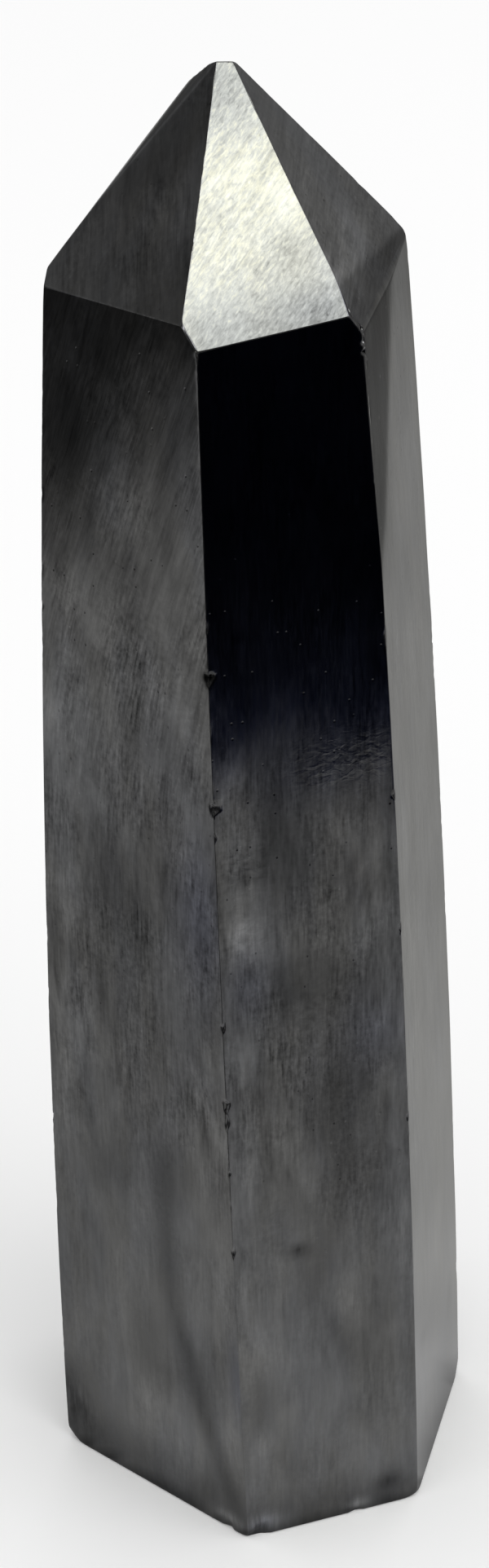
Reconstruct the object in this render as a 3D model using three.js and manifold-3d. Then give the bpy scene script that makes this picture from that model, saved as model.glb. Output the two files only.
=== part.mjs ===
// A hexagonal tower of hematite, cut and polished from one lump of the mineral.
// It stands on its flat ground base and ends in a six-faced point with a blunt tip.
//
// Millimetres, +Z up. The origin is in the middle of the base. Bearings are degrees from +X
// towards +Y, so the front side, at about 270, looks along -Y.

import * as THREE from 'three';
import { mergeVertices } from 'three/addons/utils/BufferGeometryUtils.js';
import Module from 'manifold-3d';

// Driving dimensions

const TOP_LEVEL = 96.92;
const SHOULDER_LEVEL = 85;

// Each long side leans in from the base to the shoulder and bows outwards between them.
// base and shoulder are its distances from the tower's axis there, bow is the extra at half height.
// Above it lies tip, a facet of the point: reach is the facet's distance from the axis at the
// shoulder level, and slope is its rise above the horizontal in degrees.
const SIDES = [
  {
    name: 'front', bearing: 271.8, base: 12.14, shoulder: 9.46, bow: 0.33,
    tip: { bearing: 269.2, reach: 9.19, slope: 52.3 },
  },
  {
    name: 'front_right', bearing: 328.8, base: 11.9, shoulder: 9.25, bow: 0.52,
    tip: { bearing: 325.3, reach: 8.94, slope: 54.8 },
  },
  {
    name: 'back_right', bearing: 28.5, base: 11.39, shoulder: 9.13, bow: 0.33,
    tip: { bearing: 28.2, reach: 9.36, slope: 53.9 },
  },
  {
    name: 'back', bearing: 90, base: 11.72, shoulder: 9.22, bow: 0.46,
    tip: { bearing: 90, reach: 9.29, slope: 53.4 },
  },
  {
    name: 'back_left', bearing: 148.4, base: 12.17, shoulder: 9.18, bow: 0.67,
    tip: { bearing: 147.4, reach: 9.65, slope: 53.6 },
  },
  {
    name: 'front_left', bearing: 212.5, base: 10.89, shoulder: 9.07, bow: 0.43,
    tip: { bearing: 210.2, reach: 9.31, slope: 52.5 },
  },
];

// Two small flats, ground where the front and front_right sides meet under the point.
const EXTRA_FLATS = [
  { name: 'shoulder_flat', bearing: 324.5, reach: 8.8, slope: 60.5, level: SHOULDER_LEVEL },
  { name: 'long_flat', bearing: 326.8, reach: 9.2, slope: 86.2, level: SHOULDER_LEVEL },
];

// Three small flats that blunt the top. The first falls away to the back from the front edge.
const TOP_FLATS = [
  { name: 'top_back', bearing: 75, reach: 0, slope: 32, level: 96.9 },
  { name: 'top_left', bearing: 169, reach: 0.3, slope: 47, level: 96.85 },
  { name: 'top_right', bearing: 5.7, reach: 0.68, slope: 37.4, level: 96.85 },
];

// How far each kind of edge is ground back from sharp.
const LONG_EDGE_EASE = 0.012;
const TIP_EDGE_EASE = 0.005;
const SHOULDER_EDGE_EASE = 0.02;
const BASE_EDGE_EASE = 0.06;
const SHOULDER_CORNER_EASE = 0.1;

// How far each corner of the base is worn back, by the side that comes before it.
const BASE_CORNER_EASE = {
  front: 0.25, front_right: 0.36, back_right: 0.3, back: 0.3, back_left: 0.44, front_left: 0.2,
};

// Nicks knocked out of the long edges: level above the base, length along the edge, depth, and
// how far inside the meeting line of the two sides the stone ends there.
const EDGE_NICKS = [
  { edge: 'front_left/front', level: 67.4, long: 0.3, deep: 0.12 },
  { edge: 'front_left/front', level: 64.2, long: 0.55, deep: 0.28 },
  { edge: 'front_left/front', level: 55.5, long: 0.6, deep: 0.3 },
  { edge: 'front_left/front', level: 40.3, long: 0.4, deep: 0.16 },
  { edge: 'front_left/front', level: 34.6, long: 1.2, deep: 0.22 },
  { edge: 'front_left/front', level: 32.9, long: 0.8, deep: 0.14 },
  { edge: 'front_left/front', level: 23.5, long: 0.5, deep: 0.14 },
  { edge: 'front/front_right', level: 84.2, long: 0.8, deep: 0.26, inside: 0.3 },
  { edge: 'front/front_right', level: 83.2, long: 0.7, deep: 0.24, inside: 0.2 },
  { edge: 'front/front_right', level: 80, long: 0.4, deep: 0.14, inside: 0.08 },
  { edge: 'front/front_right', level: 74.7, long: 0.5, deep: 0.16 },
  { edge: 'front/front_right', level: 54, long: 0.4, deep: 0.14 },
  { edge: 'front/front_right', level: 30.7, long: 0.4, deep: 0.14 },
  { edge: 'front_right/back_right', level: 58, long: 0.5, deep: 0.16 },
  { edge: 'back_right/back', level: 71, long: 0.6, deep: 0.2 },
  { edge: 'back_right/back', level: 36.5, long: 0.5, deep: 0.16 },
  { edge: 'back/back_left', level: 79, long: 0.6, deep: 0.2 },
  { edge: 'back/back_left', level: 48, long: 0.9, deep: 0.24 },
  { edge: 'back_left/front_left', level: 27, long: 0.5, deep: 0.16 },
];

// Chips along the base edge: place runs from -1 to 1 across the side, seen from outside.
const BASE_CHIPS = [
  { side: 'front', place: -0.88, wide: 1.7, high: 0.8, deep: 0.35 },
  { side: 'front', place: 0.26, wide: 0.9, high: 0.4, deep: 0.25 },
  { side: 'front_left', place: 0.78, wide: 1, high: 0.5, deep: 0.3 },
  { side: 'back_right', place: -0.3, wide: 1.1, high: 0.5, deep: 0.3 },
  { side: 'back', place: 0.5, wide: 1.4, high: 0.6, deep: 0.35 },
];

// Steps of the bowed sides, from the base to above the point, and the room that a cutter needs.
const BOW_STEPS = 28;
const CUTTER = 300;
const COLOUR = 0x3b3c3e;
const ROUGHNESS = 0.22;
const METALNESS = 1;

const wasm = await Module();
wasm.setup();

const UP = new THREE.Vector3(0, 0, 1);
const radians = THREE.MathUtils.degToRad;

// A closed geometry as a solid that can be joined and cut.
function solidOf(geometry) {
  geometry.deleteAttribute('normal');
  geometry.deleteAttribute('uv');
  const merged = mergeVertices(geometry);
  return new wasm.Manifold(new wasm.Mesh({
    numProp: 3,
    vertProperties: new Float32Array(merged.attributes.position.array),
    triVerts: new Uint32Array(merged.index.array),
  }));
}

// The level direction of a bearing.
function outward(bearing) {
  return new THREE.Vector3(Math.cos(radians(bearing)), Math.sin(radians(bearing)), 0);
}

// Distance of a side from the axis: a straight lean plus a parabolic bow, zero at both ends.
function reachAt(side, level) {
  const t = level / SHOULDER_LEVEL;
  return side.base + (side.shoulder - side.base) * t + 4 * side.bow * t * (1 - t);
}

// The point that lies in three planes, each given as { normal, offset }.
function meetingPoint(a, b, c) {
  const rows = new THREE.Matrix3().set(
    a.normal.x, a.normal.y, a.normal.z,
    b.normal.x, b.normal.y, b.normal.z,
    c.normal.x, c.normal.y, c.normal.z,
  );
  return new THREE.Vector3(a.offset, b.offset, c.offset).applyMatrix3(rows.invert());
}

// A plane through the level line at a given reach from the axis, rising inwards at the slope.
function leaningPlane(bearing, reach, slope, level) {
  const normal = outward(bearing)
    .multiplyScalar(Math.sin(radians(slope)))
    .addScaledVector(UP, Math.cos(radians(slope)));
  const point = outward(bearing).multiplyScalar(reach).addScaledVector(UP, level);
  return { normal, offset: normal.dot(point) };
}

// The plane that touches a bowed side at a level.
function sidePlane(side, level) {
  const step = 0.5;
  const lean = (reachAt(side, level + step) - reachAt(side, level - step)) / (2 * step);
  const slope = 90 + THREE.MathUtils.radToDeg(Math.atan(lean));
  return leaningPlane(side.bearing, reachAt(side, level), slope, level);
}

// Where two neighbouring sides meet at a level.
function edgePoint(side, next, level) {
  const a = { normal: outward(side.bearing), offset: reachAt(side, level) };
  const b = { normal: outward(next.bearing), offset: reachAt(next, level) };
  return meetingPoint(a, b, { normal: UP, offset: level });
}

// A block behind one bowed side: its outline in the distance and height plane, run across.
function bowedSlab(side) {
  const outline = new THREE.Shape();
  outline.moveTo(-CUTTER / 2, 0);
  for (let i = 0; i <= BOW_STEPS; i += 1) {
    const level = (TOP_LEVEL + 1) * i / BOW_STEPS;
    outline.lineTo(reachAt(side, level), level);
  }
  outline.lineTo(-CUTTER / 2, TOP_LEVEL + 1);
  outline.closePath();
  const slab = new THREE.ExtrudeGeometry(outline, { depth: CUTTER, bevelEnabled: false });
  slab.translate(0, 0, -CUTTER / 2);
  const out = outward(side.bearing);
  slab.applyMatrix4(new THREE.Matrix4().makeBasis(out, UP, out.clone().cross(UP)));
  return solidOf(slab);
}

// The six sides with their long edges eased, standing from the base to above the point.
// Each eased edge is one more bowed side, set back from the line where its two sides meet.
function makeShaft() {
  const middle = SHOULDER_LEVEL / 2;
  const eased = SIDES.map((side, i) => {
    const next = SIDES[(i + 1) % SIDES.length];
    const bearing = side.bearing + ((next.bearing - side.bearing + 360) % 360) / 2;
    const reach = (level) => outward(bearing).dot(edgePoint(side, next, level)) - LONG_EDGE_EASE;
    const base = reach(0);
    const shoulder = reach(SHOULDER_LEVEL);
    return { bearing, base, shoulder, bow: reach(middle) - (base + shoulder) / 2 };
  });
  return [...SIDES, ...eased].map(bowedSlab).reduce((stone, slab) => stone.intersect(slab));
}

// Grind the stone back to a plane.
function grind(stone, plane) {
  const block = new THREE.BoxGeometry(CUTTER, CUTTER, CUTTER);
  block.translate(0, 0, CUTTER / 2);
  block.applyQuaternion(new THREE.Quaternion().setFromUnitVectors(UP, plane.normal));
  block.translate(...plane.normal.clone().multiplyScalar(plane.offset));
  return stone.subtract(solidOf(block));
}

// The plane that eases a place where several planes meet, set back by a depth.
function easingPlane(planes, point, depth) {
  const normal = new THREE.Vector3();
  planes.forEach((plane) => normal.add(plane.normal));
  normal.normalize();
  return { normal, offset: normal.dot(point) - depth };
}

function flatPlane(flat) {
  return leaningPlane(flat.bearing, flat.reach, flat.slope, flat.level ?? SHOULDER_LEVEL);
}

const topPlane = { normal: UP, offset: TOP_LEVEL };
const basePlane = { normal: UP.clone().negate(), offset: 0 };

// The point: six facets, the blunt top, the two small flats, and every edge eased.
function cutPoint(shaft) {
  let stone = grind(shaft, topPlane);
  [...SIDES.map((side) => side.tip), ...EXTRA_FLATS, ...TOP_FLATS].forEach((flat) => {
    stone = grind(stone, flatPlane(flat));
  });
  SIDES.forEach((side, i) => {
    const next = SIDES[(i + 1) % SIDES.length];
    const tip = flatPlane(side.tip);
    const nextTip = flatPlane(next.tip);
    const here = sidePlane(side, SHOULDER_LEVEL);
    const beside = sidePlane(next, SHOULDER_LEVEL);
    const corner = meetingPoint(here, beside, tip);
    stone = grind(stone, easingPlane([tip, nextTip], meetingPoint(tip, nextTip, topPlane), TIP_EDGE_EASE));
    stone = grind(stone, easingPlane([here, tip], corner, SHOULDER_EDGE_EASE));
    stone = grind(stone, easingPlane([here, beside, tip, nextTip], corner, SHOULDER_CORNER_EASE));
  });
  return stone;
}

// The base: its six edges and six corners eased.
function easeBase(stone) {
  let eased = stone;
  SIDES.forEach((side, i) => {
    const next = SIDES[(i + 1) % SIDES.length];
    const here = sidePlane(side, 0);
    const beside = sidePlane(next, 0);
    const corner = meetingPoint(here, beside, basePlane);
    eased = grind(eased, easingPlane([here, basePlane], corner, BASE_EDGE_EASE));
    const ease = BASE_CORNER_EASE[side.name];
    eased = grind(eased, easingPlane([here, beside, basePlane], corner, ease));
  });
  return eased;
}

// A small rough ball, flattened to a nick and laid with its axes along out, across and up.
function nickSolid(centre, out, deep, wide, long) {
  const ball = new THREE.IcosahedronGeometry(1, 1);
  ball.scale(deep, wide, long);
  ball.applyMatrix4(new THREE.Matrix4().makeBasis(out, UP.clone().cross(out), UP));
  ball.translate(...centre);
  return solidOf(ball);
}

function nickEdges(stone) {
  let nicked = stone;
  EDGE_NICKS.forEach((nick) => {
    const i = SIDES.findIndex((side) => side.name === nick.edge.split('/')[0]);
    const side = SIDES[i];
    const next = SIDES[(i + 1) % SIDES.length];
    const point = edgePoint(side, next, nick.level);
    const out = point.clone().setZ(0).normalize();
    point.addScaledVector(out, -(nick.inside ?? 0));
    nicked = nicked.subtract(nickSolid(point, out, nick.deep, nick.deep * 1.3, nick.long / 2));
  });
  return nicked;
}

function chipBase(stone) {
  let chipped = stone;
  BASE_CHIPS.forEach((chip) => {
    const i = SIDES.findIndex((side) => side.name === chip.side);
    const side = SIDES[i];
    const next = SIDES[(i + 1) % SIDES.length];
    const before = SIDES[(i + SIDES.length - 1) % SIDES.length];
    const start = edgePoint(before, side, 0);
    const end = edgePoint(side, next, 0);
    const point = start.lerp(end, (chip.place + 1) / 2);
    const ball = nickSolid(point, outward(side.bearing), chip.deep, chip.wide / 2, chip.high);
    chipped = chipped.subtract(ball);
  });
  return chipped;
}

// A solid's surface as a flat-shaded geometry, moved so that its base is centred on the origin.
function geometryOf(solid) {
  const mesh = solid.getMesh();
  const indexed = new THREE.BufferGeometry();
  indexed.setAttribute('position', new THREE.BufferAttribute(mesh.vertProperties, 3));
  indexed.setIndex(new THREE.BufferAttribute(mesh.triVerts, 1));
  const geometry = indexed.toNonIndexed();
  geometry.computeBoundingBox();
  const middle = geometry.boundingBox.getCenter(new THREE.Vector3());
  geometry.translate(-middle.x, -middle.y, 0);
  geometry.computeVertexNormals();
  return geometry;
}

function makeTower() {
  const stone = chipBase(nickEdges(easeBase(cutPoint(makeShaft()))));
  const polishedHematite = new THREE.MeshStandardMaterial({
    name: 'polished hematite',
    color: COLOUR,
    roughness: ROUGHNESS,
    metalness: METALNESS,
  });
  const tower = new THREE.Mesh(geometryOf(stone), polishedHematite);
  tower.name = 'tower';
  return tower;
}

const group = new THREE.Group();
group.name = 'hematite tower';
group.add(makeTower());

export default group;
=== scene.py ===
"""A polished hexagonal tower of hematite, its finish, and a small studio to show it in."""

from typing import NamedTuple

import bpy
import numpy as np
from mathutils import Matrix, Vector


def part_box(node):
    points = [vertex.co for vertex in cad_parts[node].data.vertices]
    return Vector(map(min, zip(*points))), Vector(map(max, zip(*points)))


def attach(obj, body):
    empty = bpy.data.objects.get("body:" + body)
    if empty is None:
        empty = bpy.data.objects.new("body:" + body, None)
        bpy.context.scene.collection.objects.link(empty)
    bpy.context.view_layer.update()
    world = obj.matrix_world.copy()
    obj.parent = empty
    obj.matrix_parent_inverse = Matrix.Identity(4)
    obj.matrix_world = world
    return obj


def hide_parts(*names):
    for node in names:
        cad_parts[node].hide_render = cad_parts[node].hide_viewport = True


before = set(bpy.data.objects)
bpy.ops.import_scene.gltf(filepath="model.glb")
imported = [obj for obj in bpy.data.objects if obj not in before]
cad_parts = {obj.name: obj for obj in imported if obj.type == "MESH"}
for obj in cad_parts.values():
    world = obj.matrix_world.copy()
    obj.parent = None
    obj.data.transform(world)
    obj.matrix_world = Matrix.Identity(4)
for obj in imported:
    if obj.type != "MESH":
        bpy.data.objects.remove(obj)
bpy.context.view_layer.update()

bl_info = {
    "name": "Hematite Tower",
    "version": (1, 0, 0),
    "blender": (4, 5, 0),
    "location": "View3D > Sidebar > Hematite",
    "description": "A polished hexagonal hematite tower and a studio stage",
    "category": "Object",
}

# Sizes below are in millimetres and degrees, as a stone cutter would give them.
# Bearings run from +X towards +Y. MM turns a size into Blender's metres.
MM = 0.001

TOP_LEVEL = 96.92
SHOULDER_LEVEL = 85.0


class Flat(NamedTuple):
    """A plane that leans in: its bearing, its distance from the axis at a level, its slope."""

    bearing: float
    reach: float
    slope: float
    bulge: float = 0.0
    level: float = SHOULDER_LEVEL


class Side(NamedTuple):
    """A long side: its distance from the axis at the base and the shoulder, its bow, its facet."""

    name: str
    bearing: float
    base: float
    shoulder: float
    bow: float
    tip: Flat


SIDES = (
    Side("front", 271.8, 12.14, 9.46, 0.33, Flat(269.2, 9.19, 52.3, 0.09)),
    Side("front_right", 328.8, 11.90, 9.25, 0.52, Flat(325.3, 8.94, 54.8, 0.02)),
    Side("back_right", 28.5, 11.39, 9.13, 0.33, Flat(28.2, 9.36, 53.9, 0.02)),
    Side("back", 90.0, 11.72, 9.22, 0.46, Flat(90.0, 9.29, 53.4, 0.03)),
    Side("back_left", 148.4, 12.17, 9.18, 0.67, Flat(147.4, 9.65, 53.6, 0.02)),
    Side("front_left", 212.5, 10.89, 9.07, 0.43, Flat(210.2, 9.31, 52.5, 0.02)),
)
TIPS = tuple(side.tip for side in SIDES)
SHOULDER_FLAT = Flat(324.5, 8.80, 60.5)
LONG_FLAT = Flat(326.8, 9.2, 86.2)
TOP_FLATS = (
    Flat(75.0, 0.0, 32.0, level=96.9),
    Flat(169.0, 0.30, 47.0, level=96.85),
    Flat(5.7, 0.68, 37.4, level=96.85),
)

# How far each corner of the base, after its side, is worn back, and how much more than
# elsewhere the edges are eased at each corner of the shoulder.
BASE_CORNERS = (0.25, 0.36, 0.3, 0.3, 0.44, 0.2)
SHOULDER_WEAR = (2.0, 4.0, 5.0, 5.0, 3.0, 5.0)
SHOULDER_WEAR_SPREAD = 0.9

# The mean width of a side, half the width of a side at its foot and at the shoulder, and half
# that of a facet of the point at its foot and at the top, near enough to place marks on them.
SIDE_WIDTH = 12.0
SIDE_HALF_WIDTHS = (6.5, 5.0)
TIP_HALF_WIDTHS = (5.2, 0.2)

# The rays that find the surface start on the axis between these levels. Columns and the rows of
# the point crowd towards edges: their first step, its growth and the widest step, as shares.
CORE = (14.0, 83.0)
COLUMN_STEPS = (0.0022, 1.33, 0.05)
TIP_STEPS = (0.004, 1.35, 0.035)
SHOULDER_BAND = (SHOULDER_LEVEL - 4, SHOULDER_LEVEL + 4)


class Nick(NamedTuple):
    """A nick in the long edge that follows a side: its level, length along the edge, depth.

    Where a flat is ground off the edge, inside is how far the nick lies inside the old edge.
    """

    after: str
    level: float
    long: float
    deep: float
    inside: float = 0.0


EDGE_NICKS = (
    Nick("front_left", 67.4, 0.30, 0.10),
    Nick("front_left", 64.2, 0.60, 0.26),
    Nick("front_left", 55.5, 0.62, 0.28),
    Nick("front_left", 53.6, 0.25, 0.10),
    Nick("front_left", 40.3, 0.40, 0.14),
    Nick("front_left", 34.6, 0.90, 0.20),
    Nick("front_left", 33.4, 1.40, 0.12),
    Nick("front_left", 29.5, 0.30, 0.10),
    Nick("front_left", 23.5, 0.45, 0.12),
    Nick("front", 84.2, 0.60, 0.17, 0.25),
    Nick("front", 83.3, 0.45, 0.15, 0.20),
    Nick("front", 82.6, 0.40, 0.16, 0.17),
    Nick("front", 80.0, 0.30, 0.10, 0.08),
    Nick("front", 74.7, 0.40, 0.12),
    Nick("front", 64.9, 0.30, 0.10),
    Nick("front", 54.0, 0.45, 0.12),
    Nick("front", 44.6, 0.40, 0.10),
    Nick("front", 30.7, 0.45, 0.12),
    Nick("front_right", 58.0, 0.50, 0.14),
    Nick("back_right", 71.0, 0.60, 0.18),
    Nick("back_right", 36.5, 0.50, 0.14),
    Nick("back", 79.0, 0.60, 0.18),
    Nick("back", 48.0, 0.90, 0.22),
    Nick("back_left", 27.0, 0.50, 0.14),
)


class Chip(NamedTuple):
    """A chip out of the base edge: its side, its place from -1 to 1 across it, its size."""

    side: str
    place: float
    wide: float
    high: float
    deep: float


BASE_CHIPS = (
    Chip("front", -0.88, 1.7, 0.85, 0.30),
    Chip("front", 0.26, 0.9, 0.45, 0.20),
    Chip("front_left", 0.78, 1.0, 0.55, 0.25),
    Chip("back_right", -0.30, 1.1, 0.50, 0.25),
    Chip("back", 0.50, 1.4, 0.60, 0.30),
)


class Mark(NamedTuple):
    """A place on a side or its facet: where it is, its size, its lean from upright, its strength.

    tone makes it paler or darker, and blue more bluish. A mark above the shoulder's level lies
    on the side's facet of the point.
    """

    side: str
    place: float
    level: float
    wide: float
    high: float
    lean: float
    tone: float
    blue: float = 0.0


# Marks of the stone, paler or darker; some are painted light, each noted where it stands.
MARKS_AND_PAINTED_LIGHT = (
    Mark("front", -0.78, 52.6, 2.4, 4.0, 0, 0.34),
    Mark("front", -0.88, 57.6, 2.2, 2.4, 0, 0.60),
    Mark("front", 0.60, 56.2, 4.0, 2.0, 0, 0.30),
    Mark("front", -0.80, 36.8, 1.8, 3.0, 0, 0.26),
    Mark("front", -0.80, 32.6, 1.6, 2.6, 0, 0.16),
    Mark("front", -0.30, 42.4, 2.0, 4.0, 0, -0.26),
    Mark("front", 0.30, 52.0, 2.0, 3.0, 0, 0.10),
    Mark("front", 0.34, 42.5, 2.4, 4.0, 0, -0.16),
    Mark("front", 0.78, 38.5, 2.0, 3.0, 0, 0.14),
    Mark("front", 0.80, 33.6, 2.2, 3.0, 0, 0.24),
    Mark("front", 0.30, 17.5, 3.0, 4.0, 0, 0.26),
    Mark("front", -0.78, 12.0, 1.6, 5.0, 0, -0.20),
    Mark("front", -0.80, 7.0, 1.8, 3.0, 0, 0.26),
    # Painted shade inside the deep nick at 64.2, in the edge with the front left side.
    Mark("front", -0.98, 64.2, 0.6, 0.8, 0, -0.95),
    Mark("front", -0.80, 27.5, 1.6, 5.0, 0, 0.35),
    Mark("front", 0.30, 29.0, 3.2, 8.0, 0, -0.20),
    Mark("front", 0.80, 24.0, 2.0, 6.0, 0, 0.26),
    Mark("front", -0.80, 9.5, 1.8, 4.5, 0, -0.18),
    Mark("front", -0.74, 49.4, 2.0, 2.0, 20, 0.45),
    # Painted highlight: these two marks paint the rippled patch near the front's left edge paler.
    Mark("front", -0.76, 46.4, 2.4, 3.0, 20, 1.00),
    Mark("front", -0.64, 45.0, 1.2, 1.4, 0, 0.50),
    Mark("front", -0.38, 54.5, 1.5, 7.0, 0, -0.28),
    Mark("front", -0.07, 50.3, 2.8, 8.0, 2, -0.26),
    Mark("front", -0.03, 40.8, 2.8, 6.5, 14, -0.24),
    Mark("front", 0.28, 34.5, 4.2, 8.5, 8, -0.40),
    Mark("front", 0.55, 27.5, 4.0, 6.0, 0, -0.16),
    Mark("front", -0.72, 42.8, 3.0, 5.0, 0, -0.05, 0.7),
    Mark("front", 0.67, 37.6, 4.0, 5.5, 0, 0.02, 0.6),
    Mark("front", -0.50, 41.5, 0.9, 1.4, 20, -0.28),
    Mark("front", 0.76, 46.0, 2.6, 18.0, 0, 0.24),
    Mark("front", 0.86, 22.0, 2.0, 22.0, 0, 0.16),
    Mark("front", -0.90, 22.0, 1.6, 18.0, 0, 0.14),
    Mark("front", 0.17, 26.1, 1.4, 8.0, 2, -0.22),
    Mark("front", -0.07, 20.5, 1.5, 5.5, 14, -0.26),
    Mark("front", 0.11, 15.3, 0.7, 6.0, -17, -0.22),
    Mark("front", -0.60, 18.6, 2.6, 9.0, 0, 0.08),
    Mark("front", 0.40, 14.0, 3.0, 9.0, 0, 0.08),
    Mark("front", -0.26, 22.4, 1.5, 1.1, 20, -0.70),
    Mark("front", 0.66, 1.9, 1.9, 1.7, -30, -0.55),
    Mark("front", -0.82, 1.0, 2.3, 1.3, 0, 1.80, 0.5),
    Mark("front", 0.28, 0.6, 1.2, 0.9, 0, 1.50),
    Mark("front_left", 0.80, 0.9, 1.4, 1.0, 0, 1.30),
    # Painted shade inside the deep nick at 64.2, in the edge with the front.
    Mark("front_left", 0.98, 64.2, 0.6, 0.8, 0, -0.95),
    Mark("front_left", 0.80, 47.5, 3.0, 11.0, 0, -0.08, 1.0),
    Mark("front_left", -0.13, 41.5, 4.6, 12.0, 4, -0.24),
    Mark("front_left", -0.80, 40.0, 3.6, 44.0, 0, 0.24),
    Mark("front_left", 0.76, 34.1, 0.9, 7.0, -17, 0.34),
    Mark("front_left", 0.52, 34.6, 0.8, 6.0, -14, -0.22),
    Mark("front_left", 0.25, 26.5, 1.8, 9.0, 0, -0.42),
    Mark("front_left", 0.27, 19.6, 1.6, 8.0, -2, -0.44),
    Mark("front_left", 0.42, 13.6, 1.4, 7.0, -12, -0.44),
    Mark("front_left", 0.60, 8.4, 1.3, 6.0, -14, -0.44),
    Mark("front_left", 0.80, 4.0, 1.4, 5.0, -16, -0.44),
    Mark("front_left", 0.0, 23.0, 8.0, 16.0, 0, 0.10),
    Mark("front_left", 0.80, 15.0, 1.2, 8.0, -8, 0.16),
    Mark("front_left", 0.97, 13.0, 1.2, 7.0, 0, 0.0, 0.6),
    # Painted shade: the foot of the front left side is painted darker towards its corner with the back
    # left side.
    Mark("front_left", -0.92, 3.2, 6.4, 10.0, -24, -0.60),
    Mark("front_left", 0.78, 60.4, 2.0, 5.0, -14, 0.34),
    Mark("front_left", 0.02, 57.3, 0.8, 8.0, 0, -0.20),
    Mark("front_left", -0.74, 81.6, 2.6, 4.0, 0, 0.40),
    Mark("front_left", -0.66, 74.6, 2.8, 9.0, 8, -0.50),
    Mark("front_left", 0.45, 82.0, 6.0, 7.0, 0, 0.34),
    Mark("front_left", 0.80, 76.5, 3.0, 5.0, 0, 0.24),
    Mark("front_left", 0.10, 72.6, 3.4, 4.5, 0, 0.34),
    Mark("front_left", 0.72, 72.6, 2.6, 4.0, 0, 0.14),
    Mark("front_left", 0.05, 66.0, 2.6, 3.0, 0, -0.16),
    Mark("front_left", 0.70, 60.0, 2.6, 4.0, 0, -0.20),
    Mark("front_left", 0.10, 58.0, 3.0, 6.0, 0, -0.18),
    Mark("front_left", 0.50, 30.5, 3.0, 4.0, 0, 0.26),
    Mark("front_left", 0.05, 28.0, 3.0, 5.0, 0, 0.16),
    Mark("front_left", 0.0, 14.0, 2.6, 6.0, 0, -0.26),
    Mark("front_left", 0.74, 16.4, 1.4, 5.0, 0, -0.14),
    Mark("front_left", 0.05, 7.6, 2.6, 3.6, 0, 0.22),
    Mark("front_left", 0.88, 7.6, 1.2, 4.0, 0, 0.20),
    Mark("front_left", -0.05, 3.2, 4.0, 4.0, -24, -0.16),
    Mark("front_left", -0.84, 5.0, 2.0, 4.0, 0, -0.16),
    Mark("front_left", 0.40, 72.0, 3.0, 5.0, 0, -0.10),
    Mark("front_right", 0.62, 8.6, 1.8, 3.4, 6, -0.34),
    Mark("front_right", -0.62, 11.4, 2.4, 1.3, 30, -0.40),
    Mark("front_right", 0.98, 44.0, 0.9, 110.0, 0, -0.20),
    Mark("front_right", 0.0, 83.8, 4.0, 4.0, 0, 0.20),
    Mark("front_right", 0.55, 18.0, 2.6, 12.0, 0, -0.06),
    Mark("front_right", 0.20, 8.0, 6.0, 8.0, 0, -0.16),
    # Painted shade: the foot of the front right side is painted darker.
    Mark("front_right", 0.50, 2.2, 5.0, 8.0, 0, -0.34),
    Mark("front_right", -0.70, 48.0, 2.6, 16.0, 0, 0.10),
    Mark("front_right", -0.66, 38.0, 3.0, 24.0, 0, 0.22),
    Mark("back_right", 0.20, 40.0, 3.0, 14.0, 5, -0.22),
    Mark("back_right", -0.50, 62.0, 2.4, 9.0, -6, 0.24),
    Mark("back_right", 0.45, 14.0, 2.0, 9.0, -10, 0.18),
    Mark("back_right", -0.70, 27.0, 2.6, 8.0, 0, -0.06, 0.8),
    Mark("back", -0.35, 57.0, 2.8, 12.0, 8, 0.24),
    Mark("back", 0.40, 34.0, 3.6, 10.0, -8, -0.24),
    Mark("back", -0.50, 12.0, 2.0, 8.0, 4, -0.20),
    Mark("back", 0.72, 66.0, 2.2, 9.0, 0, -0.05, 0.7),
    Mark("back_left", 0.30, 66.0, 2.4, 10.0, 6, -0.22),
    Mark("back_left", -0.30, 41.0, 3.2, 9.0, 10, 0.24),
    Mark("back_left", 0.55, 18.0, 2.2, 10.0, -6, -0.22),
    # Painted shade: the top of the front facet of the point is painted darker and bluer.
    Mark("front", 0.0, 95.8, 10.0, 5.0, 0, -0.32, 0.3),
    Mark("front", -0.05, 92.0, 4.0, 2.6, 0, 0.12),
    Mark("front", -0.60, 90.3, 2.6, 2.4, 0, -0.12),
    # Painted shade: the foot of the front facet of the point is painted darker and bluer.
    Mark("front", 0.0, 84.6, 20.0, 4.6, 0, -0.42, 0.4),
    Mark("front", 0.66, 85.6, 4.8, 2.2, -6, -0.17, 0.3),
    Mark("front", 0.50, 88.0, 2.8, 2.8, 0, -0.26),
    Mark("front", 0.95, 87.4, 2.0, 3.0, -20, -0.16, 0.2),
    Mark("front_left", 0.85, 86.5, 3.0, 5.0, 0, -0.20),
    Mark("front_left", 0.40, 96.0, 9.0, 7.6, 0, -0.30),
    Mark("front_left", 0.30, 90.3, 3.6, 3.2, 0, 0.32),
    Mark("front_left", -0.60, 91.4, 3.0, 3.6, 0, -0.16),
    Mark("front_left", -0.90, 86.6, 3.0, 3.0, 0, 0.14),
    Mark("front_right", 0.0, 95.0, 9.0, 9.0, 0, -0.30),
    Mark("front_right", -0.99, 86.4, 1.1, 3.0, 0, 0.40),
    Mark("front_right", -0.12, 87.2, 2.6, 3.0, 10, 0.34),
    Mark("front_right", 0.40, 85.5, 6.6, 2.0, 0, -0.30),
    Mark("front_right", -0.70, 86.4, 3.0, 2.4, 0, 0.60),
    Mark("front_right", 0.60, 88.0, 3.4, 4.0, 0, -0.22),
    Mark("back", 0.30, 87.0, 6.0, 4.0, 0, -0.20),
)
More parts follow.
